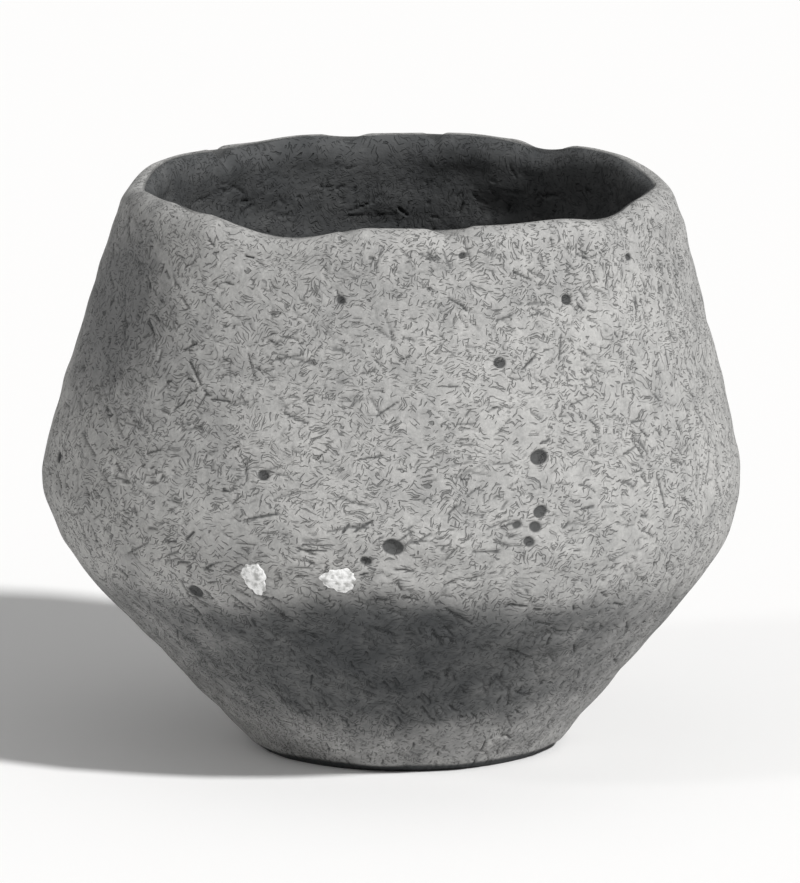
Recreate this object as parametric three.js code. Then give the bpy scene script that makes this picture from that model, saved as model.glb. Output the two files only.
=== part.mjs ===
// A prehistoric pot of clay mixed with chopped straw, built by hand from slabs.
// A round base slab carries four courses of wall slabs and a rim made of three strips. Each slab is lapped on
// the inside of the edge below it and on its neighbour, with a film of wet slip between them.
// Millimetres and degrees. +Z is up, +X is to the right as the pot is seen from its front, which faces -Y.
// The origin is on the ground under the middle of the belly.
import * as THREE from "three";
import { mergeVertices } from "three/addons/utils/BufferGeometryUtils.js";

// Outside of the wall: radius and height of each place where its line changes.
const footRadius = 32;
const footEdgeRadius = 34.6;
const footEdgeHeight = 2;
const carinationRadius = 63.8;
const carinationHeight = 34.8;
const bellyRadius = 75;
const bellyHeight = 59.5;
const shoulderRadius = 69.8;
const shoulderHeight = 82;
const lipRadius = 59.6;
const lipHeight = 118.6;

// Thickness of the wall, square to its outside, and of the floor.
const wallAtFoot = 11;
const wallAtBelly = 9.5;
const wallAtLip = 7.4;
const floorThickness = 10;
const floorCornerRadius = 9;

// The lip is rounded over above lipHeight and worn to a narrow flat on top.
const lipRound = 5;
const lipFlat = 2.2;

// Joints: the height where each course meets the one below, how far the slabs lap, and the film of slip.
const baseJointHeight = 9.5;
const lowerJointHeight = 34;
const bellyJointHeight = 66;
const shoulderJointHeight = 93;
const rimJointHeight = 111;
const courseLap = 7;
const rimLap = 4;
const endLap = 8;
const slipFilm = 0.4;
const jointWave = 1.1;

// Hand work: how the pot sits off its axis, how far it is from round, and its swellings and dents.
const footOffset = 3.1;
const lipOffset = 1.7;
const depthShare = 0.985;
const swellings = [
  // angle round the pot, height, reach round and up, and how far the wall stands out (or in, below 0)
  { angle: 229, height: 112, round: 17, up: 34, out: 1.3 },
  { angle: 203, height: 96, round: 20, up: 30, out: -0.9 },
  { angle: 262, height: 92, round: 22, up: 26, out: -0.8 },
  { angle: 231, height: 43, round: 14, up: 10, out: -1 },
  { angle: 285, height: 24, round: 26, up: 11, out: -0.9 },
  { angle: 330, height: 70, round: 26, up: 20, out: 0.6 },
  { angle: 60, height: 84, round: 30, up: 24, out: -0.9 },
  { angle: 112, height: 62, round: 34, up: 22, out: 0.7 },
  { angle: 150, height: 30, round: 24, up: 14, out: -0.8 },
  { angle: 30, height: 26, round: 26, up: 12, out: -0.7 },
];
const lipWear = [
  // angle round the pot, half the width of the worn or chipped stretch in degrees, and its depth
  { angle: 244, width: 20, depth: 3.3 },
  { angle: 258, width: 5, depth: 1.2 },
  { angle: 281, width: 6, depth: 1.4 },
  { angle: 322, width: 17, depth: 2.2 },
  { angle: 10, width: 24, depth: 1.5 },
  { angle: 55, width: 9, depth: 2.1 },
  { angle: 82, width: 3, depth: 1 },
  { angle: 102, width: 6, depth: 1.1 },
  { angle: 135.5, width: 3.2, depth: 2 },
  { angle: 178, width: 20, depth: 1.7 },
  { angle: 217, width: 8, depth: 0.8 },
];

// Two spots of lime stuck on the belly, at the front.
const limeThickness = 0.8;
const limeClearance = 0.3;
const limeSpots = [
  { name: "lime_spot_left", angle: 246.5, height: 49.8, width: 5.4, tall: 7.6, turn: 12 },
  { name: "lime_spot_right", angle: 261.2, height: 50.6, width: 7.6, tall: 5.6, turn: -20 },
];

// Fineness of the faceted solids.
const facetSize = 8;
const lipFacetSize = 3.2;
const lipFacetRows = 4;
const cornerFacets = 4;

const { degToRad, lerp, clamp, smoothstep } = THREE.MathUtils;

// The line of the outside, as radius and height, from the foot's edge to where the lip starts to round.
const lowerSlope = (carinationRadius - footEdgeRadius) / (carinationHeight - footEdgeHeight);
const upperSlope = (shoulderRadius - lipRadius) / (lipHeight - shoulderHeight);
const underBelly = carinationHeight + (bellyRadius - carinationRadius) / lowerSlope;
const overBelly = shoulderHeight - (bellyRadius - shoulderRadius) / upperSlope;
const outline = new THREE.Path();
outline.moveTo(footEdgeRadius, footEdgeHeight);
outline.lineTo(carinationRadius, carinationHeight);
outline.quadraticCurveTo(bellyRadius, Math.min(underBelly, bellyHeight), bellyRadius, bellyHeight);
outline.quadraticCurveTo(bellyRadius, Math.max(overBelly, bellyHeight), shoulderRadius, shoulderHeight);
outline.lineTo(lipRadius, lipHeight);
const outlineLength = outline.getLength();

// How far along the outline, in mm, a height is.
function alongAt(height) {
  let low = 0;
  let high = 1;
  for (let halving = 0; halving < 40; halving++) {
    const middle = (low + high) / 2;
    if (outline.getPoint(middle).y < height) low = middle;
    else high = middle;
  }
  return low * outlineLength;
}
const alongBelly = alongAt(bellyHeight);

function wallThickness(along) {
  return along < alongBelly
    ? lerp(wallAtFoot, wallAtBelly, along / alongBelly)
    : lerp(wallAtBelly, wallAtLip, (along - alongBelly) / (outlineLength - alongBelly));
}

// A point in the wall, as radius and height: depth 1 is the outside and 0 the inside.
function inWall(along, depth) {
  const share = clamp(along / outlineLength, 0, 1);
  const outside = outline.getPoint(share);
  const tangent = outline.getTangent(share);
  const inset = (1 - depth) * wallThickness(along);
  return new THREE.Vector2(outside.x - tangent.y * inset, outside.y + tangent.x * inset);
}

function degreesApart(one, other) {
  return Math.abs(((one - other + 540) % 360) - 180);
}

// 1 at the middle of a reach and 0 at its end, with a smooth fall.
function fade(distance, reach) {
  return distance < reach ? 0.5 + 0.5 * Math.cos((Math.PI * distance) / reach) : 0;
}

// What the maker's hands did to the true shape: the same move for every piece, so that they still fit.
function handWork(angle, radius, height) {
  let out = 0;
  for (const s of swellings)
    out += s.out * fade(degreesApart(angle, s.angle), s.round) * fade(Math.abs(height - s.height), s.up);
  let worn = 0;
  for (const w of lipWear) worn = Math.max(worn, w.depth * fade(degreesApart(angle, w.angle), w.width));
  const nearLip = smoothstep(height, rimJointHeight, lipHeight + lipRound);
  const offset =
    height < bellyHeight
      ? lerp(footOffset, 0, clamp(height / bellyHeight, 0, 1))
      : lerp(0, lipOffset, (height - bellyHeight) / (lipHeight - bellyHeight));
  const swollen = radius + out * smoothstep(radius, 0, footRadius);
  const turn = degToRad(angle);
  return new THREE.Vector3(
    swollen * Math.cos(turn) + offset,
    swollen * Math.sin(turn) * depthShare,
    height - worn * nearLip,
  );
}

// Bends a flat block onto the wall. place gives the angle, radius and height of a point of the block, whose
// first share runs round the pot, the second up the wall and the third from the inside out.
function bentBlock(columns, rows, place) {
  const block = new THREE.BoxGeometry(1, 1, 1, columns, rows, 1).translate(0.5, 0.5, 0.5);
  block.deleteAttribute("normal");
  block.deleteAttribute("uv");
  const solid = mergeVertices(block);
  const points = solid.getAttribute("position");
  for (let i = 0; i < points.count; i++) {
    const { angle, radius, height } = place(points.getX(i), points.getY(i), points.getZ(i));
    const moved = handWork(angle, radius, height);
    points.setXYZ(i, moved.x, moved.y, moved.z);
  }
  solid.computeVertexNormals();
  return solid;
}

const pot = new THREE.Group();
const paleClay = new THREE.MeshStandardMaterial({ color: 0xb4b4b1, roughness: 0.95, metalness: 0 });
const smokedClay = new THREE.MeshStandardMaterial({ color: 0x8b8d8c, roughness: 0.95, metalness: 0 });
const lime = new THREE.MeshStandardMaterial({ color: 0xededea, roughness: 0.9, metalness: 0 });

function addPiece(name, geometry, material) {
  const piece = new THREE.Mesh(geometry, material);
  piece.name = name;
  pot.add(piece);
}

// A joint between two courses rises and falls a little round the pot; the one on the base slab is level.
function jointRipple(angle, jointHeight) {
  return jointHeight > baseJointHeight ? jointWave * Math.sin(degToRad(3 * angle + 7 * jointHeight)) : 0;
}

// Angles where a course's slabs meet. Slabs cut by hand differ in width by up to widthSpread.
const widthSpread = 0.12;
function slabEnds(count, firstAngle) {
  const widths = Array.from({ length: count }, (_, i) => 1 + widthSpread * Math.sin(2.4 * i + firstAngle));
  const total = widths.reduce((sum, width) => sum + width, 0);
  const ends = [firstAngle];
  for (const width of widths) ends.push(ends.at(-1) + (360 * width) / total);
  return ends;
}

// Degrees round the pot that a length takes at a radius.
function degreesAt(length, radius) {
  return (length / radius) * (180 / Math.PI);
}

// Base slab: a disc pressed flat on the ground, with its edge turned up to take the lowest wall slabs.
function baseSlab() {
  const jointOutside = alongAt(baseJointHeight) + courseLap / 2 - slipFilm / 2;
  const jointInside = alongAt(baseJointHeight) - courseLap / 2 - slipFilm / 2;
  const outsideEnd = inWall(jointOutside, 1);
  const insideEnd = inWall(jointInside, 0);
  const section = [new THREE.Vector2(0, 0), new THREE.Vector2(footRadius, 0)];
  const outsideSteps = Math.max(2, Math.round(jointOutside / (facetSize / 2)));
  for (let i = 0; i <= outsideSteps; i++) section.push(inWall((jointOutside * i) / outsideSteps, 1));
  section.push(new THREE.Vector2().lerpVectors(outsideEnd, insideEnd, 0.5));
  const corner = new THREE.QuadraticBezierCurve(
    insideEnd,
    new THREE.Vector2(insideEnd.x - (insideEnd.y - floorThickness) * lowerSlope, floorThickness),
    new THREE.Vector2(insideEnd.x - floorCornerRadius, floorThickness),
  );
  section.push(...corner.getPoints(cornerFacets));
  section.push(new THREE.Vector2(section.at(-1).x / 2, floorThickness));
  section.push(new THREE.Vector2(0, floorThickness));
  const turns = Math.round((2 * Math.PI * outsideEnd.x) / facetSize);
  const disc = new THREE.LatheGeometry(section, turns).rotateX(Math.PI / 2);
  disc.deleteAttribute("normal");
  disc.deleteAttribute("uv");
  const solid = mergeVertices(disc);
  const points = solid.getAttribute("position");
  for (let i = 0; i < points.count; i++) {
    const radius = Math.hypot(points.getX(i), points.getY(i));
    const angle = THREE.MathUtils.radToDeg(Math.atan2(points.getY(i), points.getX(i)));
    const moved = handWork(angle, radius, points.getZ(i));
    points.setXYZ(i, moved.x, moved.y, moved.z);
  }
  solid.computeVertexNormals();
  addPiece("base_slab", solid, smokedClay);
}

// One course of wall slabs. lapBelow and lapAbove are the laps at its two joints.
function wallCourse({ name, count, firstAngle, from, to, lapBelow, lapAbove, material }) {
  const ends = slabEnds(count, firstAngle);
  const low = alongAt(from);
  const high = alongAt(to);
  const middle = inWall((low + high) / 2, 1).x;
  const rows = Math.max(2, Math.round((high - low) / facetSize));
  for (let slab = 0; slab < count; slab++) {
    const width = degToRad(ends[slab + 1] - ends[slab]) * middle;
    const columns = Math.max(3, Math.round(width / facetSize));
    const place = (round, up, depth) => {
      const start = ends[slab] + degreesAt((depth - 0.5) * endLap + slipFilm / 2, middle);
      const end = ends[slab + 1] + degreesAt((depth - 0.5) * endLap - slipFilm / 2, middle);
      const angle = lerp(start, end, round);
      const bottom = low + jointRipple(angle, from) + (depth - 0.5) * lapBelow + slipFilm / 2;
      const top = high + jointRipple(angle, to) + (depth - 0.5) * lapAbove - slipFilm / 2;
      const { x: radius, y: height } = inWall(lerp(bottom, top, up), depth);
      return { angle, radius, height };
    };
    addPiece(`${name}_${slab + 1}`, bentBlock(columns, rows, place), material);
  }
}

// Rim: three long strips pinched onto the neck and rounded over into the lip.
function rimStrips(count, firstAngle) {
  const ends = slabEnds(count, firstAngle);
  const low = alongAt(rimJointHeight);
  const middle = inWall(outlineLength, 0.5);
  const rise = outline.getTangent(1);
  const straightRows = Math.max(1, Math.round((outlineLength - low) / facetSize));
  const rows = straightRows + lipFacetRows;
  const straight = straightRows / rows;
  const flatAngle = Math.acos(Math.min(lipFlat / wallAtLip, 1));
  for (let strip = 0; strip < count; strip++) {
    const columns = Math.max(6, Math.round((degToRad(ends[strip + 1] - ends[strip]) * lipRadius) / lipFacetSize));
    const place = (round, up, depth) => {
      const start = ends[strip] + degreesAt((depth - 0.5) * endLap + slipFilm / 2, middle.x);
      const end = ends[strip + 1] + degreesAt((depth - 0.5) * endLap - slipFilm / 2, middle.x);
      const angle = lerp(start, end, round);
      const bottom = low + jointRipple(angle, rimJointHeight) + (depth - 0.5) * rimLap + slipFilm / 2;
      if (up <= straight) {
        const { x: radius, y: height } = inWall(lerp(bottom, outlineLength, up / straight), depth);
        return { angle, radius, height };
      }
      const over = ((up - straight) / (1 - straight)) * flatAngle;
      const across = (depth - 0.5) * wallAtLip * Math.cos(over);
      const above = (lipRound * Math.sin(over)) / Math.sin(flatAngle);
      return {
        angle,
        radius: middle.x + rise.x * above + rise.y * across,
        height: middle.y + rise.y * above - rise.x * across,
      };
    };
    addPiece(`rim_strip_${strip + 1}`, bentBlock(columns, rows, place), paleClay);
  }
}

// A thin flake of lime with an uneven edge, lying on the outside of the wall.
function limeSpot({ name, angle, height, width, tall, turn }) {
  const along = alongAt(height);
  const flake = new THREE.CylinderGeometry(1, 1, 1, 14, 1).rotateX(Math.PI / 2).translate(0, 0, 0.5);
  flake.deleteAttribute("normal");
  flake.deleteAttribute("uv");
  const solid = mergeVertices(flake);
  const points = solid.getAttribute("position");
  for (let i = 0; i < points.count; i++) {
    const bearing = Math.atan2(points.getY(i), points.getX(i));
    const reach = Math.hypot(points.getX(i), points.getY(i)) * (1 + 0.07 * Math.sin(3 * bearing + turn));
    const leaned = bearing + degToRad(turn);
    const across = (width / 2) * reach * Math.cos(leaned);
    const upward = (tall / 2) * reach * Math.sin(leaned);
    const thinned = lerp(1, 0.75, clamp(reach, 0, 1));
    const lifted = limeClearance + points.getZ(i) * limeThickness * thinned;
    const wallPlace = inWall(along + upward, 1 + lifted / wallThickness(along));
    const moved = handWork(angle + degreesAt(across, wallPlace.x), wallPlace.x, wallPlace.y);
    points.setXYZ(i, moved.x, moved.y, moved.z);
  }
  solid.computeVertexNormals();
  addPiece(name, solid, lime);
}

baseSlab();
wallCourse({
  name: "lower_wall_slab", count: 5, firstAngle: 20, from: baseJointHeight, to: lowerJointHeight,
  lapBelow: courseLap, lapAbove: courseLap, material: smokedClay,
});
wallCourse({
  name: "belly_slab", count: 7, firstAngle: 48, from: lowerJointHeight, to: bellyJointHeight,
  lapBelow: courseLap, lapAbove: courseLap, material: paleClay,
});
wallCourse({
  name: "shoulder_slab", count: 6, firstAngle: 5, from: bellyJointHeight, to: shoulderJointHeight,
  lapBelow: courseLap, lapAbove: courseLap, material: paleClay,
});
wallCourse({
  name: "neck_slab", count: 6, firstAngle: 36, from: shoulderJointHeight, to: rimJointHeight,
  lapBelow: courseLap, lapAbove: rimLap, material: paleClay,
});
rimStrips(3, 80);
limeSpots.forEach(limeSpot);

export default pot;
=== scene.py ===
"""The looks of a prehistoric pot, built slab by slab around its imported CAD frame.

Metres and degrees. +Z is up and the camera looks from -Y. The pot's clay is full of chopped straw that burnt
out in the fire, so its whole skin is covered with small slits and pits.
"""
import math

import bpy
import numpy as np
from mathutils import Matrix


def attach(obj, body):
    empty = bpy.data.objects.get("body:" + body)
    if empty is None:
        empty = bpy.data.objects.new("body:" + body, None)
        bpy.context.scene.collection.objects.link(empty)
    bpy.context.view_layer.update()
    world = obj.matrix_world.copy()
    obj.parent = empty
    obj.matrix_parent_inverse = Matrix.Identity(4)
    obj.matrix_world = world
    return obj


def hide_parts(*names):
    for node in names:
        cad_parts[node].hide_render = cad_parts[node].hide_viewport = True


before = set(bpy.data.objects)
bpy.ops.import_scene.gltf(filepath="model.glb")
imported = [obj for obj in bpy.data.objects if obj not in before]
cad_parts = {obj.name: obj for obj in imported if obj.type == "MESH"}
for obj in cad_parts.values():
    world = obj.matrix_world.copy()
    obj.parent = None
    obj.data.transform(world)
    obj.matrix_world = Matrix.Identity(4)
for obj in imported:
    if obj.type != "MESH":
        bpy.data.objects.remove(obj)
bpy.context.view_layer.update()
MM = 0.001

# The clay
# One low-fired, matte, porous body: pale grey where the fire was clean, and darkened below and inside, partly
# by smoke and partly as painted shade. It was wiped with the fingers, which laid the straw in streaks. Each
# burnt straw left a slit, whose hollow is painted dark as painted shade.

# The second colour is the dark end of the mottling and also carries painted shade; the third is smoke and
# also painted shade and shadow; the last is painted shade in the slits and hollows.
PALE = (0.47, 0.465, 0.452, 1)
MOTTLE_AND_SHADE = (0.185, 0.186, 0.185, 1)
SMOKED_AND_SHADED = (0.055, 0.058, 0.06, 1)
SLIT_SHADE = (0.03, 0.032, 0.033, 1)
CLAY_ROUGHNESS, CLAY_SPECULAR = 0.92, 0.25
CLAY_RELIEF = 0.55 * MM
# Sizes of the clay's noises, in features per metre.
BROAD_MOTTLE, SMALL_MOTTLE, SMOKE_CLOUDS, STRAW_PATCHES, GRAIN, LUMPS_IN_SKIN, ROUGH_SKIN = (
    38, 210, 110, 70, 1500, 260, 900,
)
# The hand that wiped the skin wandered: how often per metre, and by how much.
SWAY, SWAY_REACH = 110, 9 * MM
# Families of fine slits: their turn, cells per metre along and across them, and half a slit's width in cells.
FINE_SLITS = ((24, 260, 1500, 0.2), (-38, 300, 1700, 0.19), (-72, 240, 1400, 0.19), (5, 420, 2100, 0.2))


class Shader:
    """A new material, with short ways to add the nodes that this script uses."""

    def __init__(self, name, roughness):
        self.material = bpy.data.materials.new(name)
        self.material.use_nodes = True
        self.nodes = self.material.node_tree.nodes
        self.surface = self.nodes["Principled BSDF"]
        self.surface.inputs["Roughness"].default_value = roughness
        self.place = self.nodes.new("ShaderNodeTexCoord").outputs["Object"]

    def put(self, socket, value):
        if isinstance(value, (int, float, tuple)):
            socket.default_value = value
        else:
            self.material.node_tree.links.new(value, socket)

    def attribute(self, name):
        node = self.nodes.new("ShaderNodeAttribute")
        node.attribute_name = name
        return node.outputs["Fac"]

    def noise(self, scale, detail, roughness=0.5, output="Fac"):
        node = self.nodes.new("ShaderNodeTexNoise")
        self.put(node.inputs["Scale"], scale)
        self.put(node.inputs["Detail"], detail)
        self.put(node.inputs["Roughness"], roughness)
        self.put(node.inputs["Vector"], self.place)
        return node.outputs[output]

    def maths(self, operation, first, second):
        node = self.nodes.new("ShaderNodeMath")
        node.operation = operation
        self.put(node.inputs[0], first)
        self.put(node.inputs[1], second)
        return node.outputs[0]

    def vector_maths(self, operation, first, second):
        node = self.nodes.new("ShaderNodeVectorMath")
        node.operation = operation
        self.put(node.inputs[0], first)
        self.put(node.inputs[1], second)
        return node.outputs["Vector"]

    def ramp(self, value, low, high):
        """Rises smoothly from 0 at low to 1 at high."""
        node = self.nodes.new("ShaderNodeMapRange")
        node.interpolation_type = "SMOOTHSTEP"
        self.put(node.inputs["From Min"], low)
        self.put(node.inputs["From Max"], high)
        self.put(node.inputs["Value"], value)
        return node.outputs["Result"]

    def mix(self, share, first, second):
        node = self.nodes.new("ShaderNodeMix")
        node.data_type = "RGBA"
        self.put(node.inputs["Factor"], share)
        self.put(node.inputs["A"], first)
        self.put(node.inputs["B"], second)
        return node.outputs["Result"]

    def mapped(self, vector, **settings):
        node = self.nodes.new("ShaderNodeMapping")
        for name, value in settings.items():
            node.inputs[name.capitalize()].default_value = value
        self.put(node.inputs["Vector"], vector)
        return node.outputs["Vector"]

    def bump(self, height, strength, distance):
        node = self.nodes.new("ShaderNodeBump")
        self.put(node.inputs["Strength"], strength)
        self.put(node.inputs["Distance"], distance)
        self.put(node.inputs["Height"], height)
        self.put(self.surface.inputs["Normal"], node.outputs["Normal"])


def fine_slits(shader, skin, turn, along, across, half_width):
    """Scattered thin ellipses: Voronoi cells stretched along the direction of wiping."""
    turned = shader.mapped(skin, rotation=(0, 0, math.radians(turn)))
    cells = shader.nodes.new("ShaderNodeTexVoronoi")
    cells.voronoi_dimensions = "2D"
    shader.put(cells.inputs["Scale"], 1)
    shader.put(cells.inputs["Vector"], shader.mapped(turned, scale=(along, across, 1)))
    chance = shader.nodes.new("ShaderNodeSeparateColor")
    shader.put(chance.inputs["Color"], cells.outputs["Color"])
    near = shader.ramp(cells.outputs["Distance"], half_width, half_width * 0.55)
    return shader.maths("MULTIPLY", near, shader.ramp(chance.outputs["Red"], 0.35, 0.55))


def clay_material():
    shader = Shader("straw_filled_clay", CLAY_ROUGHNESS)
    shader.surface.inputs["Specular IOR Level"].default_value = CLAY_SPECULAR
    skin = shader.nodes.new("ShaderNodeUVMap")
    skin.uv_map = "skin"
    sway = shader.vector_maths("SUBTRACT", shader.noise(SWAY, 3, output="Color"), (0.5, 0.5, 0.5))
    sway = shader.vector_maths("MULTIPLY", sway, (SWAY_REACH,) * 3)
    wiped = shader.vector_maths("ADD", skin.outputs["UV"], sway)

    level, leaning, steep, short = (fine_slits(shader, wiped, *family) for family in FINE_SLITS)
    patches = shader.noise(STRAW_PATCHES, 3, 0.6)
    some = shader.maths("MULTIPLY", shader.maths("MAXIMUM", level, leaning), shader.ramp(patches, 0.34, 0.46))
    others = shader.maths("MULTIPLY", shader.maths("MAXIMUM", steep, short), shader.ramp(patches, 0.62, 0.5))
    fine = shader.maths("MAXIMUM", some, others)
    # Painted shade: the fine slits, and the deep slits and hollows the more the deeper they are, are painted
    # dark.
    deep = shader.ramp(shader.attribute("void"), 0.1, 1.3)
    painted_slit_shade = shader.maths("MAXIMUM", shader.maths("MULTIPLY", fine, 0.62), deep)

    broad = shader.maths("MULTIPLY", shader.noise(BROAD_MOTTLE, 5, 0.7), 0.8)
    small = shader.maths("MULTIPLY", shader.noise(SMALL_MOTTLE, 5, 0.75), 0.9)
    tone = shader.maths("ADD", shader.maths("ADD", broad, small), shader.attribute("shade"))
    ground = shader.mix(shader.ramp(tone, 0.55, 1.45), PALE, MOTTLE_AND_SHADE)
    grain = shader.ramp(shader.noise(GRAIN, 3, 0.7), 0.3, 0.7)
    ground = shader.mix(shader.maths("MULTIPLY", grain, 0.3), ground, MOTTLE_AND_SHADE)
    clouds = shader.maths("MULTIPLY", shader.noise(SMOKE_CLOUDS, 6, 0.7), 0.75)
    # Smoke and painted shade: the low band and the inside, and a near-black painted shadow at the foot.
    smoke_and_shade = shader.maths("ADD", shader.attribute("smoke_and_shade"), clouds)
    ground = shader.mix(shader.ramp(smoke_and_shade, 0.45, 1.45), ground, SMOKED_AND_SHADED)
    colour = shader.mix(shader.maths("MULTIPLY", painted_slit_shade, 0.85), ground, SLIT_SHADE)
    shader.put(shader.surface.inputs["Base Color"], colour)

    rough = shader.maths("MULTIPLY", shader.noise(ROUGH_SKIN, 6, 0.7), 0.35)
    lumpy = shader.maths("MULTIPLY", shader.noise(LUMPS_IN_SKIN, 3, 0.6), 0.8)
    height = shader.maths("SUBTRACT", shader.maths("ADD", rough, lumpy), shader.maths("MULTIPLY", fine, 0.9))
    shader.bump(height, 0.95, CLAY_RELIEF)
    return shader.material


clay = clay_material()

# The line of the wall
# Every slab is laid to it. It is the outside of the pot, from the foot's edge to the place where the lip
# starts to round over, and it is the same line as in the CAD frame. A point on it has a radius and a height.

FOOT_RADIUS = 32 * MM
FOOT_EDGE = (34.6 * MM, 2 * MM)
CARINATION = (63.8 * MM, 34.8 * MM)
BELLY = (75 * MM, 59.5 * MM)
SHOULDER = (69.8 * MM, 82 * MM)
LIP = (59.6 * MM, 118.6 * MM)
WALL_AT_FOOT, WALL_AT_BELLY, WALL_AT_LIP = 11 * MM, 9.5 * MM, 7.4 * MM
LOWER_SLOPE = (CARINATION[0] - FOOT_EDGE[0]) / (CARINATION[1] - FOOT_EDGE[1])
UPPER_SLOPE = (SHOULDER[0] - LIP[0]) / (LIP[1] - SHOULDER[1])
CURVE_STEPS = 200
TANGENT_STEP = 0.3 * MM


def bend(start, control, end, share):
    """A curve from start to end that leaves and arrives along the lines to control."""
    return (1 - share) ** 2 * start + 2 * share * (1 - share) * control + share**2 * end


def outside_line():
    under = min(CARINATION[1] + (BELLY[0] - CARINATION[0]) / LOWER_SLOPE, BELLY[1])
    over = max(SHOULDER[1] - (BELLY[0] - SHOULDER[0]) / UPPER_SLOPE, BELLY[1])
    share = np.linspace(0, 1, CURVE_STEPS)[:, None]
    keel, belly, shoulder = np.array(CARINATION), np.array(BELLY), np.array(SHOULDER)
    line = np.concatenate([
        [FOOT_EDGE],
        bend(keel, np.array((BELLY[0], under)), belly, share),
        bend(belly, np.array((BELLY[0], over)), shoulder, share)[1:],
        [LIP],
    ])
    along = np.concatenate([[0], np.cumsum(np.hypot(*np.diff(line, axis=0).T))])
    return line, along


LINE, ALONG = outside_line()
LENGTH = ALONG[-1]


def along_at(height):
    return np.interp(height, LINE[:, 1], ALONG)


def on_line(along):
    return np.interp(along, ALONG, LINE[:, 0]), np.interp(along, ALONG, LINE[:, 1])


def in_wall(along, depth, out=0):
    """Radius and height of a place in the wall. depth is 1 outside and 0 inside, and out lifts it off."""
    radius, height = on_line(along)
    before = on_line(np.clip(along - TANGENT_STEP, 0, LENGTH))
    after = on_line(np.clip(along + TANGENT_STEP, 0, LENGTH))
    run, rise = after[0] - before[0], after[1] - before[1]
    size = np.hypot(run, rise)
    run, rise = run / size, rise / size
    wall = np.interp(along, (0, along_at(BELLY[1]), LENGTH), (WALL_AT_FOOT, WALL_AT_BELLY, WALL_AT_LIP))
    inset = (1 - depth) * wall - out
    return radius - rise * inset, height + run * inset


# The maker's hands
# The pot was built without a wheel, so its foot and lip sit off its axis, it isn't quite round, and its wall
# swells and dips. Use wore the lip into dips and one sharp chip. All slabs share these moves, so they fit.

FOOT_OFFSET, LIP_OFFSET = 3.1 * MM, 1.7 * MM
DEPTH_SHARE = 0.985
LIP_ROUND = 5 * MM
WEAR_STARTS = 111 * MM
# Angle round the pot, height, reach in degrees, reach up, and how far the wall stands out. Lengths are in mm.
SWELLINGS = (
    (229, 112, 17, 34, 1.3),
    (203, 96, 20, 30, -0.9),
    (262, 92, 22, 26, -0.8),
    (231, 43, 14, 10, -1),
    (285, 24, 26, 11, -0.9),
    (330, 70, 26, 20, 0.6),
    (60, 84, 30, 24, -0.9),
    (112, 62, 34, 22, 0.7),
    (150, 30, 24, 14, -0.8),
    (30, 26, 26, 12, -0.7),
)
# Angle round the pot, half the width in degrees, and depth in mm.
LIP_WEAR = (
    (244, 20, 3.3), (258, 5, 1.2), (281, 6, 1.4), (322, 17, 2.2), (10, 24, 1.5), (55, 9, 2.1), (82, 3, 1),
    (102, 6, 1.1), (135.5, 3.2, 2), (178, 20, 1.7), (217, 8, 0.8),
)


def fade(distance, reach):
    """1 at the middle of a reach and 0 from its end on."""
    return np.where(distance < reach, 0.5 + 0.5 * np.cos(np.pi * np.minimum(distance / reach, 1)), 0)


def apart(one, other):
    return np.abs((one - other + 540) % 360 - 180)


def smooth(value, low, high):
    """Rises smoothly from 0 at low to 1 at high."""
    share = np.clip((value - low) / (high - low), 0, 1)
    return share * share * (3 - 2 * share)


def hand_work(angle, radius, height):
    """The place in space of a point of the true shape, once the maker's hands have moved it."""
    out = sum(
        stands * MM * fade(apart(angle, middle), reach) * fade(np.abs(height - level * MM), up * MM)
        for middle, level, reach, up, stands in SWELLINGS
    )
    worn = np.max([depth * MM * fade(apart(angle, middle), half) for middle, half, depth in LIP_WEAR], axis=0)
    off = np.where(
        height < BELLY[1],
        FOOT_OFFSET * (1 - np.clip(height / BELLY[1], 0, 1)),
        LIP_OFFSET * (height - BELLY[1]) / (LIP[1] - BELLY[1]),
    )
    swollen = radius + out * smooth(radius, 0, FOOT_RADIUS)
    turn = np.radians(angle)
    worn_height = height - worn * smooth(height, WEAR_STARTS, LIP[1] + LIP_ROUND)
    across, back = swollen * np.cos(turn) + off, swollen * np.sin(turn) * DEPTH_SHARE
    return np.stack((across, back, worn_height), axis=-1)


# The skin
# Slits of burnt straw, hollows of lost grit and the marks of fingers are pressed into maps of the whole wall,
# row by row up and column by column round, so that they run on from slab to slab over the smeared joints.

COLUMNS_ROUND = 1152
ROW_HEIGHT = 0.4 * MM
ROWS = round(LENGTH / ROW_HEIGHT)
LIP_MAP_ROWS = 40
MAP_ROWS = ROWS + LIP_MAP_ROWS
SKIN_RADIUS = 62 * MM
CELL_ROUND = 2 * math.pi * SKIN_RADIUS / COLUMNS_ROUND
STRAWS = 9000
STRAW_LEAN = 30
SHORTEST_STRAW, STRAW_GROWTH, STRAW_SPREAD = 0.7 * MM, 2.6, 0.85 * MM
THINNEST_STRAW, THICKEST_STRAW = 0.42 * MM, 0.75 * MM
SHALLOWEST_STRAW, DEEPEST_STRAW, FEW_DEEP = 0.06 * MM, 0.4 * MM, 2.2
FULL_DEPTH = 0.4 * MM
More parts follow.
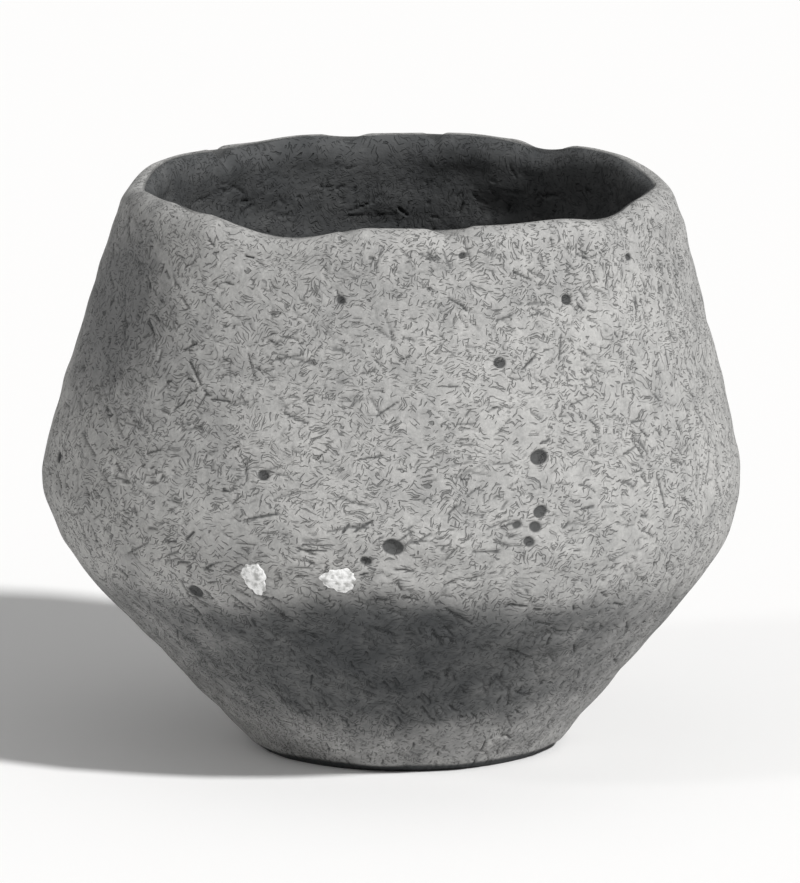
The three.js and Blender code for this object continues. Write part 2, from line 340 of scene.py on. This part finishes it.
# Round hollows: angle, height, width and depth, in degrees and mm. The first ones are those at the front.
FRONT_PITS = (
    (270.3, 58.2, 3.4, 1.1), (295.5, 75.4, 3.2, 1.0), (295, 64.3, 2.6, 0.8), (294, 61.2, 2.4, 0.7),
    (292.8, 58.1, 2.2, 0.7), (290.8, 62, 1.8, 0.6), (247.9, 72, 2.2, 0.7), (265.8, 55, 2, 0.7),
    (258.9, 108.4, 2, 0.6), (283, 118, 1.8, 0.6), (304.7, 106.7, 2.2, 0.8), (322.9, 113.1, 2, 0.7),
    (289.3, 95.2, 2.4, 0.8), (233.1, 44.5, 3.4, 0.8),
)
OTHER_PITS = (
    (40, 60, 3, 0.9), (95, 88, 2.6, 0.8), (130, 48, 3, 0.9), (170, 100, 2.2, 0.7), (195, 66, 2.4, 0.8),
    (20, 98, 2.2, 0.7), (70, 40, 2.6, 0.8),
)
PIT_STRETCH, PIT_LEAN = 1.15, 60
FINGER_WAVES, FINGER_DEPTH = range(5, 30), 0.55 * MM
FINGER_SHORTEST, FINGER_TALLEST = 6, 30
INNER_LUMPS = 1.6
INNER_SKIN_SHIFT = 0.3
draws = np.random.default_rng(41)


def wipe_direction(angle, height):
    """The way the straws lie, in degrees up from level, as the photograph shows it zone by zone."""
    left, right = fade(apart(angle, 190), 45), fade(apart(angle, 335), 45)
    above = smooth(height, 80 * MM, 100 * MM)
    low = smooth(height, 56 * MM, 40 * MM)
    middle = 20 - 40 * above
    return (middle * (1 - low) - 48 * low) * (1 - left) * (1 - right) - 72 * left - 78 * right


def stamp(relief, angle, height, length, width, depth, direction):
    """Presses one rounded slit into a map."""
    row, column = along_at(height) / ROW_HEIGHT, angle / 360 * COLUMNS_ROUND
    reach = int(length / 2 / ROW_HEIGHT) + 3
    rows = np.arange(max(int(row) - reach, 0), min(int(row) + reach, MAP_ROWS))
    columns = np.arange(int(column) - reach, int(column) + reach)
    up = (rows[:, None] - row) * ROW_HEIGHT
    across = (columns[None, :] - column) * CELL_ROUND
    turn = math.radians(direction)
    lengthwise = across * math.cos(turn) + up * math.sin(turn)
    crosswise = -across * math.sin(turn) + up * math.cos(turn)
    beyond = np.maximum(np.abs(lengthwise) - max(length - width, 0) / 2, 0)
    away = np.hypot(beyond, crosswise) / (width / 2)
    here = np.ix_(rows, columns % COLUMNS_ROUND)
    relief[here] = np.maximum(relief[here], depth * (1 - smooth(away, 0.45, 1.25)))


def void_map(straws, pits):
    relief = np.zeros((MAP_ROWS, COLUMNS_ROUND))
    angles = draws.uniform(0, 360, straws)
    heights = np.interp(draws.uniform(0, LENGTH, straws), ALONG, LINE[:, 1])
    directions = wipe_direction(angles, heights) + draws.normal(0, STRAW_LEAN, straws)
    lengths = draws.gamma(STRAW_GROWTH, STRAW_SPREAD, straws) + SHORTEST_STRAW
    widths = draws.uniform(THINNEST_STRAW, THICKEST_STRAW, straws)
    depths = SHALLOWEST_STRAW + DEEPEST_STRAW * draws.uniform(0, 1, straws) ** FEW_DEEP
    for straw in zip(angles, heights, lengths, widths, depths, directions):
        stamp(relief, *straw)
    for angle, height, width, depth in pits:
        direction = draws.uniform(-PIT_LEAN, PIT_LEAN)
        stamp(relief, angle, height * MM, width * PIT_STRETCH * MM, width * MM, depth * MM, direction)
    return relief


def finger_map():
    """Low lumps left by fingers, as a sum of a few waves that close round the pot."""
    turn = np.linspace(0, 2 * math.pi, COLUMNS_ROUND, endpoint=False)[None, :]
    up = (np.arange(MAP_ROWS) * ROW_HEIGHT)[:, None]
    lumps = np.zeros((MAP_ROWS, COLUMNS_ROUND))
    for waves in FINGER_WAVES:
        tall = draws.uniform(FINGER_SHORTEST, FINGER_TALLEST) * MM
        phase, lean = draws.uniform(0, 2 * math.pi, 2)
        lumps += FINGER_DEPTH / waves * np.sin(waves * turn + phase) * np.sin(2 * math.pi * up / tall + lean)
    return lumps


outer_voids = void_map(STRAWS, FRONT_PITS + OTHER_PITS)
inner_voids = void_map(STRAWS // 2, OTHER_PITS)
finger_marks = finger_map()


def read_map(relief, column, along):
    row = np.clip(np.rint(along / ROW_HEIGHT).astype(int), 0, MAP_ROWS - 1)
    return relief[row, np.rint(column).astype(int) % COLUMNS_ROUND]


# Painted darkening: the low band below the carination is partly smoke and partly painted shade, and the
# inside is darkened mostly as painted shade and partly by smoke.
SMOKE_AND_SHADE_EDGE, SMOKE_AND_SHADE_FADE = 47, (3 * MM, -9 * MM)
INSIDE_SMOKE_AND_SHADE, SHADE_INSIDE = 0.8, 0.5


def skin_tones(angle, height, inside):
    """How smoked and how shaded the clay is: a low band, mostly at the front, is partly smoke and partly
    painted shade;
    inside it is mostly painted shade and partly smoke; a painted shade patch sits high on the left; the back
    is a little darker.
    """
    wander = 2.5 * np.sin(np.radians(3 * angle)) + 1.5 * np.sin(np.radians(7 * angle + 40))
    edge = (SMOKE_AND_SHADE_EDGE + wander) * MM
    low = smooth(height, edge + SMOKE_AND_SHADE_FADE[0], edge + SMOKE_AND_SHADE_FADE[1])
    low = low * (0.45 + 0.55 * smooth(height, 5 * MM, 20 * MM))
    front = 0.5 + 0.5 * fade(apart(angle, 268), 75)
    # Painted shade: a darker patch high on the left side of the wall.
    left_painted_shade = fade(apart(angle, 200), 30) * fade(np.abs(height - 100 * MM), 30 * MM)
    smoke_and_shade = np.where(inside, INSIDE_SMOKE_AND_SHADE, low * front * 0.95)
    shade = np.where(inside, SHADE_INSIDE, 0.8 * left_painted_shade + 0.12 * fade(apart(angle, 90), 90))
    return smoke_and_shade, shade


def flat_places(mesh):
    """The vertices of a new primitive, as an array of x, y and z."""
    places = np.empty(len(mesh.vertices) * 3)
    mesh.vertices.foreach_get("co", places)
    return places.reshape(-1, 3)


def shape_clay(mesh, places, voids, tones, skin):
    """Moves the vertices to their places and records what the clay's shader reads."""
    mesh.vertices.foreach_set("co", places.ravel())
    for name, values in (("void", voids / FULL_DEPTH), ("smoke_and_shade", tones[0]), ("shade", tones[1])):
        mesh.attributes.new(name, "FLOAT", "POINT").data.foreach_set("value", values)
    corners = np.empty(len(mesh.loops), dtype=np.int32)
    mesh.loops.foreach_get("vertex_index", corners)
    layer = mesh.uv_layers.get("skin") or mesh.uv_layers.new(name="skin")
    layer.data.foreach_set("uv", np.stack(skin, axis=-1)[corners].ravel())
    mesh.update()


def keep_edges_crisp(sharpness):
    """In edit mode: faces out, smooth skin, and edges sharper than this kept crisp."""
    bpy.ops.mesh.select_all(action="SELECT")
    bpy.ops.mesh.normals_make_consistent(inside=False)
    bpy.ops.mesh.faces_shade_smooth()
    bpy.ops.mesh.select_all(action="DESELECT")
    bpy.ops.mesh.edges_select_sharp(sharpness=math.radians(sharpness))
    bpy.ops.mesh.mark_sharp()


def add_to_pot(piece, name, node, material):
    piece.name = name
    piece.data.materials.clear()
    piece.data.materials.append(material)
    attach(piece, "root")
    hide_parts(node)


# Base slab
# A disc of clay pressed flat on the ground, with its edge turned up to carry the lowest wall. Below and at
# its lowest edge it is painted near black as a painted shadow. Its edge is darkened like the wall, partly by
# smoke and partly as painted shade, and the wall's lowest slabs are pressed onto its bevel.

FLOOR_THICKNESS = 10 * MM
FLOOR_CORNER = 9 * MM
FLOOR_ROWS = 36
FOOT_JOINT = 9.5 * MM
COURSE_LAP = 7 * MM
LAP_ROWS = round(COURSE_LAP / ROW_HEIGHT)
WALL_RISE, WALL_RUN = 0.75, 0.66
FOOT_SHADOW_HEIGHT = 1.9 * MM
PAINTED_FOOT_SHADOW = 2.0
INSIDE_ABOVE = 4 * MM
SMOOTH_CENTRE, MARKED_FROM = 4 * MM, 12 * MM
BASE_SHARPNESS = 50


def base_section():
    """The slab's section from the middle of its underside, round its edge, to the middle of the floor."""
    top_row = round(along_at(FOOT_JOINT) / ROW_HEIGHT) + LAP_ROWS // 2
    inner_row = top_row - LAP_ROWS
    wall = np.arange(top_row + 1) * ROW_HEIGHT
    inner_radius, inner_height = (float(v) for v in in_wall(np.array(inner_row * ROW_HEIGHT), 0.0))
    under = np.linspace(0, FOOT_RADIUS, FLOOR_ROWS)
    share = np.linspace(0, 1, FLOOR_ROWS)
    corner_radius = inner_radius - (inner_height - FLOOR_THICKNESS) * LOWER_SLOPE
    floor_radius = inner_radius - FLOOR_CORNER
    floor = np.linspace(floor_radius, 0, FLOOR_ROWS)[1:]
    wall_radius, wall_height = in_wall(wall, 1.0)
    corner = bend(inner_radius, corner_radius, floor_radius, share)
    corner_height = bend(inner_height, FLOOR_THICKNESS, FLOOR_THICKNESS, share)
    none_under, none_wall, none_floor = 0 * under, 0 * wall, 0 * floor
    radius = np.concatenate([under, wall_radius, corner, floor])
    height = np.concatenate([none_under, wall_height, corner_height, none_floor + FLOOR_THICKNESS])
    along = np.concatenate([none_under, wall, 0 * share + inner_row * ROW_HEIGHT, none_floor])
    is_wall = np.concatenate([none_under, none_wall + 1, 0 * share, none_floor])
    is_floor = np.concatenate([none_under, none_wall, smooth(share, 0, 0.4), none_floor + 1])
    return radius, height, along, is_wall, is_floor


def base_slab():
    section = base_section()
    last = len(section[0]) - 1
    columns = COLUMNS_ROUND // 2
    bpy.ops.object.select_all(action="DESELECT")
    bpy.ops.mesh.primitive_grid_add(x_subdivisions=columns, y_subdivisions=last, size=1)
    piece = bpy.context.object
    flat = flat_places(piece.data) + 0.5
    column = np.rint(flat[:, 0] * columns) * 2
    row = np.rint(flat[:, 1] * last).astype(int)
    radius, height, along, is_wall, is_floor = (values[row] for values in section)
    angle = column / COLUMNS_ROUND * 360
    voids = read_map(outer_voids, column, along) * is_wall
    lumps = read_map(finger_marks, column, along) * is_wall
    floor_voids = read_map(inner_voids, column, radius * 2) * is_floor
    floor_voids = floor_voids * smooth(radius, SMOOTH_CENTRE, MARKED_FROM)
    pressed = np.maximum(height - (lumps - voids) * WALL_RUN - floor_voids, 0)
    places = hand_work(angle, radius + (lumps - voids) * WALL_RISE, pressed)
    smoke_and_shade, shade = skin_tones(angle, height, (height > INSIDE_ABOVE) & (is_wall < 0.5))
    # Painted shadow: the underside and the foot's lowest edge are painted near black, where the contact
    # shadow falls.
    smoke_and_shade = np.where(height < FOOT_SHADOW_HEIGHT, PAINTED_FOOT_SHADOW, smoke_and_shade)
    skin = (np.radians(angle) * SKIN_RADIUS, along + radius * (1 - is_wall))
    shape_clay(piece.data, places, voids + floor_voids, (smoke_and_shade, shade), skin)
    bpy.ops.object.mode_set(mode="EDIT")
    bpy.ops.mesh.select_all(action="SELECT")
    bpy.ops.mesh.remove_doubles(threshold=0.002 * MM)
    keep_edges_crisp(BASE_SHARPNESS)
    bpy.ops.object.mode_set(mode="OBJECT")
    add_to_pot(piece, "base_slab_clay", "base_slab", clay)


base_slab()

# Wall courses
# Four courses of slabs, from the lower wall to the neck. Each slab is lapped inside the edge below it and on
# its neighbour, and the joints were smeared over by hand, so no seam shows on the outside.

LOWER_JOINT, BELLY_JOINT, SHOULDER_JOINT, RIM_JOINT = 34 * MM, 66 * MM, 93 * MM, 111 * MM
WIDTH_SPREAD, WIDTH_TURN = 0.12, 2.4
END_LAP = 8 * MM
END_LAP_COLUMNS = round(END_LAP / CELL_ROUND / 2) * 2
RIM_LAP = 4 * MM
RIM_LAP_ROWS = round(RIM_LAP / ROW_HEIGHT)
COURSE_LAP_ROWS = LAP_ROWS // 2 * 2
SLAB_SHARPNESS = 60


def rolled_slab(columns, rows):
    """A slab rolled flat: a fine grid, raised to a block, with its edges crisp. Returns the object, and the
    shares round, up and outwards of each of its vertices."""
    bpy.ops.object.select_all(action="DESELECT")
    bpy.ops.mesh.primitive_grid_add(x_subdivisions=columns, y_subdivisions=rows, size=1)
    piece = bpy.context.object
    bpy.ops.object.mode_set(mode="EDIT")
    bpy.ops.mesh.select_all(action="SELECT")
    bpy.ops.mesh.extrude_region_move(TRANSFORM_OT_translate={"value": (0, 0, 1)})
    keep_edges_crisp(SLAB_SHARPNESS)
    bpy.ops.object.mode_set(mode="OBJECT")
    flat = flat_places(piece.data)
    return piece, flat[:, 0] + 0.5, flat[:, 1] + 0.5, (flat[:, 2] > 0.5).astype(float)


def lay_on_wall(piece, column, along, depth, round_over=None):
    """Bends a rolled slab onto the wall and presses the skin's maps into both its faces."""
    inside = depth < 0.5
    angle = column / COLUMNS_ROUND * 360
    voids = np.where(inside, read_map(inner_voids, column, along), read_map(outer_voids, column, along))
    lumps = read_map(finger_marks, column, along) * np.where(inside, INNER_LUMPS, 1)
    out = np.where(inside, -1, 1) * (lumps - voids)
    radius, height = in_wall(np.minimum(along, LENGTH), depth, out)
    if round_over:
        radius, height = round_over(radius, height, out)
    skin = (np.radians(angle) * SKIN_RADIUS, along + np.where(inside, INNER_SKIN_SHIFT, 0))
    shape_clay(piece.data, hand_work(angle, radius, height), voids, skin_tones(angle, height, inside), skin)


def slab_ends(count, first_angle):
    """The columns where a course's slabs meet. Slabs cut by hand differ a little in width."""
    widths = 1 + WIDTH_SPREAD * np.sin(WIDTH_TURN * np.arange(count) + first_angle)
    ends = first_angle + 360 * np.concatenate([[0], np.cumsum(widths)]) / widths.sum()
    return np.rint(ends / 360 * COLUMNS_ROUND).astype(int)


def wall_course(name, count, first_angle, low, high, lap_above):
    ends = slab_ends(count, first_angle)
    low_row, high_row = (round(along_at(joint) / ROW_HEIGHT) for joint in (low, high))
    for slab in range(count):
        columns = int(ends[slab + 1] - ends[slab])
        piece, round_share, up_share, depth = rolled_slab(columns, high_row - low_row)
        side = np.where(depth > 0.5, 1, -1)
        column = ends[slab] + round_share * columns + side * END_LAP_COLUMNS // 2
        bottom = low_row + side * (COURSE_LAP_ROWS // 2)
        top = high_row + side * (lap_above // 2)
        lay_on_wall(piece, column, (bottom + up_share * (top - bottom)) * ROW_HEIGHT, depth)
        add_to_pot(piece, f"{name}_{slab + 1}_clay", f"{name}_{slab + 1}", clay)


wall_course("lower_wall_slab", 5, 20, FOOT_JOINT, LOWER_JOINT, COURSE_LAP_ROWS)
wall_course("belly_slab", 7, 48, LOWER_JOINT, BELLY_JOINT, COURSE_LAP_ROWS)
wall_course("shoulder_slab", 6, 5, BELLY_JOINT, SHOULDER_JOINT, COURSE_LAP_ROWS)
wall_course("neck_slab", 6, 36, SHOULDER_JOINT, RIM_JOINT, RIM_LAP_ROWS)

# Rim
# Three long strips pinched onto the neck between finger and thumb and rounded over into the lip, which years
# of use have worn. They are of the same clay, and their ends are lapped on each other like the slabs'.

LIP_ROWS = 14
LIP_FLAT = 0.8 * MM
LIP_FLAT_ANGLE = math.acos(LIP_FLAT / WALL_AT_LIP)


def lip_rounding(over, side):
    """A function that rounds the rows above the wall's line over into the lip. over is 0 on the line and 1 on
    top of the lip, and side is 1 on the outside and -1 on the inside."""
    middle_radius, middle_height = (float(value) for value in in_wall(np.array(LENGTH), 0.5))
    run, rise = LIP[0] - SHOULDER[0], LIP[1] - SHOULDER[1]
    run, rise = run / math.hypot(run, rise), rise / math.hypot(run, rise)
    turn = over * LIP_FLAT_ANGLE

    def round_over(radius, height, out):
        lifted = side * out
        across = side * (WALL_AT_LIP / 2 + lifted) * np.cos(turn)
        above = LIP_ROUND * np.sin(turn) / math.sin(LIP_FLAT_ANGLE) + lifted * np.sin(turn)
        lip_radius = middle_radius + run * above + rise * across
        lip_height = middle_height + rise * above - run * across
        return np.where(over > 0, lip_radius, radius), np.where(over > 0, lip_height, height)

    return round_over


def rim_strips(count, first_angle):
    ends = slab_ends(count, first_angle)
    low_row = round(along_at(RIM_JOINT) / ROW_HEIGHT)
    straight_rows = ROWS - low_row
    rows = straight_rows + LIP_ROWS
    for strip in range(count):
        columns = int(ends[strip + 1] - ends[strip])
        piece, round_share, up_share, depth = rolled_slab(columns, rows)
        side = np.where(depth > 0.5, 1, -1)
        column = ends[strip] + round_share * columns + side * END_LAP_COLUMNS // 2
        row = np.rint(up_share * rows)
        bottom = low_row + side * (RIM_LAP_ROWS // 2)
        straight = bottom + np.minimum(row / straight_rows, 1) * (ROWS - bottom)
        over = np.clip((row - straight_rows) / LIP_ROWS, 0, 1)
        lay_on_wall(piece, column, (straight + over * LIP_ROWS) * ROW_HEIGHT, depth, lip_rounding(over, side))
        add_to_pot(piece, f"rim_strip_{strip + 1}_clay", f"rim_strip_{strip + 1}", clay)


rim_strips(3, 80)

# Lime spots
# Two chalky white crusts that grew on the pot in the ground. They are thin, matte flakes with crumbly edges,
# stuck on the belly at the front.

LIME_DULL, LIME_WHITE = (0.42, 0.42, 0.41, 1), (0.85, 0.85, 0.84, 1)
LIME_ROUGHNESS = 0.95
LIME_CRUMBS = 900
LIME_RELIEF = 0.3 * MM
LIME_THICKNESS, LIME_SUNK_SHARE = 0.8 * MM, 0.55
LIME_CURL = 0.05 * MM
# Node, angle, height, width and height of the flake in mm, and its turn.
LIME_SPOTS = (
    ("lime_spot_left", 246.5, 49.8, 5.4, 7.6, 12),
    ("lime_spot_right", 261.2, 50.6, 7.6, 5.6, -20),
)


def lime_material():
    shader = Shader("chalky_lime", LIME_ROUGHNESS)
    crumbs = shader.noise(LIME_CRUMBS, 5)
    tint = shader.nodes.new("ShaderNodeValToRGB")
    dull, white = tint.color_ramp.elements
    dull.position, dull.color = 0.35, LIME_DULL
    white.position, white.color = 0.55, LIME_WHITE
    shader.put(tint.inputs["Fac"], crumbs)
    shader.put(shader.surface.inputs["Base Color"], tint.outputs["Color"])
    shader.bump(crumbs, 1.0, LIME_RELIEF)
    return shader.material


def lime_spot(node, angle, height, width, tall, turn):
    bpy.ops.object.select_all(action="DESELECT")
    bpy.ops.mesh.primitive_uv_sphere_add(segments=64, ring_count=32, radius=1)
    piece = bpy.context.object
    ball = flat_places(piece.data)
    bearing = np.arctan2(ball[:, 1], ball[:, 0]) + math.radians(turn)
    ragged = 1 + 0.1 * np.sin(3 * bearing + turn) + 0.06 * np.sin(7 * bearing) + 0.04 * np.sin(13 * bearing)
    reach = np.hypot(ball[:, 0], ball[:, 1]) * ragged
    across = width / 2 * MM * reach * np.cos(bearing)
    upward = tall / 2 * MM * reach * np.sin(bearing)
    out = ball[:, 2] * LIME_THICKNESS * LIME_SUNK_SHARE + LIME_CURL * np.sin(9 * bearing) * reach
    radius, level = in_wall(along_at(height * MM) + upward, 1.0, out)
    places = hand_work(angle + np.degrees(across / radius), radius, level)
    piece.data.vertices.foreach_set("co", places.ravel())
    piece.data.shade_smooth()
    piece.data.update()
    add_to_pot(piece, f"{node}_crust", node, chalk)


chalk = lime_material()
for spot in LIME_SPOTS:
    lime_spot(*spot)

# Studio
# A plain white floor and white surroundings, one strong lamp from the right and above, and a weak one from
# the left. The surroundings look white to the camera but light the pot only softly.

FLOOR_SIZE = 6
PAPER = (0.93, 0.925, 0.92, 1)
PAPER_ROUGHNESS = 0.9
# Name, direction from the camera's right, height above the floor in degrees, strength, and softness.
LAMPS = (("key_lamp", 48, 42, 3.3, 5), ("side_lamp", -62, 38, 0.3, 8))
SURROUND_WHITE = (0.985, 0.985, 0.98, 1)
SURROUND_LIGHT = 0.33


def white_floor():
    bpy.ops.object.select_all(action="DESELECT")
    bpy.ops.mesh.primitive_plane_add(size=FLOOR_SIZE)
    floor = bpy.context.object
    floor.name = "studio_floor"
    shader = Shader("white_paper", PAPER_ROUGHNESS)
    shader.surface.inputs["Base Color"].default_value = PAPER
    floor.data.materials.append(shader.material)


def lamp(name, direction, elevation, strength, softness):
    bpy.ops.object.light_add(type="SUN")
    sun = bpy.context.object
    sun.name = name
    sun.data.energy = strength
    sun.data.angle = math.radians(softness)
    sun.rotation_euler = (math.radians(90 - elevation), 0, math.radians(direction))


def surroundings():
    world = bpy.data.worlds.new("studio_white")
    bpy.context.scene.world = world
    world.use_nodes = True
    nodes, links = world.node_tree.nodes, world.node_tree.links
    background = nodes["Background"]
    background.inputs["Color"].default_value = SURROUND_WHITE
    seen = nodes.new("ShaderNodeLightPath")
    strength = nodes.new("ShaderNodeMapRange")
    strength.inputs["To Min"].default_value = SURROUND_LIGHT
    strength.inputs["To Max"].default_value = 1.0
    links.new(seen.outputs["Is Camera Ray"], strength.inputs["Value"])
    links.new(strength.outputs["Result"], background.inputs["Strength"])


white_floor()
for settings in LAMPS:
    lamp(*settings)
surroundings()

# Camera
# A long lens 3 m away, looking down by 12 degrees and framed as in the photograph, with the belly's middle a
# little left of the picture's centre.

CAMERA_DISTANCE = 3.0
LOOKING_DOWN = math.radians(11.9)
AIM_RIGHT, AIM_UP = 1.93 * MM, 3.76 * MM
AIM_HEIGHT = 61.5 * MM
HEIGHT_SEEN = 189.8 * MM
FARTHEST_SEEN = 20


def photo_camera():
    data = bpy.data.cameras.new("photo_camera")
    camera = bpy.data.objects.new("photo_camera", data)
    bpy.context.scene.collection.objects.link(camera)
    data.lens = data.sensor_width * CAMERA_DISTANCE / HEIGHT_SEEN
    data.clip_end = FARTHEST_SEEN
    down, level = math.sin(LOOKING_DOWN), math.cos(LOOKING_DOWN)
    aim = (AIM_RIGHT, AIM_UP * down, AIM_HEIGHT + AIM_UP * level)
    camera.location = (aim[0], aim[1] - CAMERA_DISTANCE * level, aim[2] + CAMERA_DISTANCE * down)
    camera.rotation_euler = (math.pi / 2 - LOOKING_DOWN, 0, 0)
    bpy.context.scene.camera = camera


photo_camera()
bpy.context.scene.view_settings.view_transform = "Standard"
